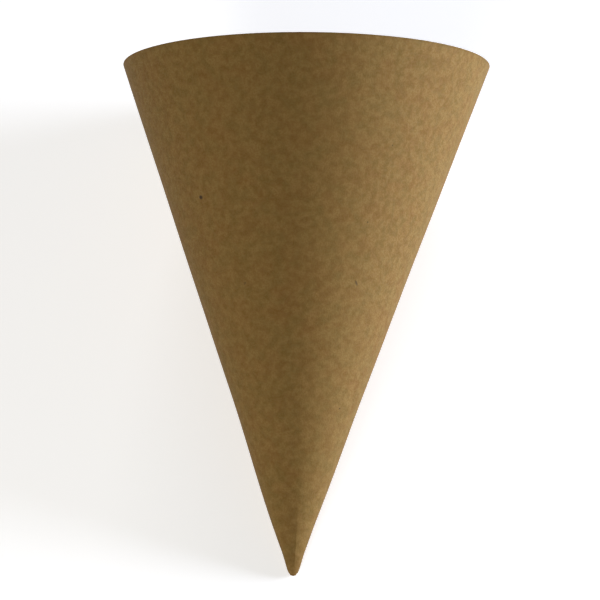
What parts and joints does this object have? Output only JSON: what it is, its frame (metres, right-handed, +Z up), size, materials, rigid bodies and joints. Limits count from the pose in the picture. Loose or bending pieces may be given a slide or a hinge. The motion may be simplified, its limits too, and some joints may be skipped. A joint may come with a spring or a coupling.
{
  "type": "chip cone",
  "caption": "Takeaway cone of plain kraft board, rolled from one sheet and glued along a lap, open at the wide end and rounded at the tip.",
  "frame": {"origin": "centre of the object's box at its base, on the surface that the cone lies on", "axes": "+Y from the tip towards the mouth, +Z up with the plain front on top, +X to the right of the front"},
  "size_m": [0.132, 0.1944, 0.1243],
  "materials": {
    "kraft_board": "matte"
  },
  "bodies": {
    "root": {"chip_cone": "kraft_board"}
  },
  "joints": []
}
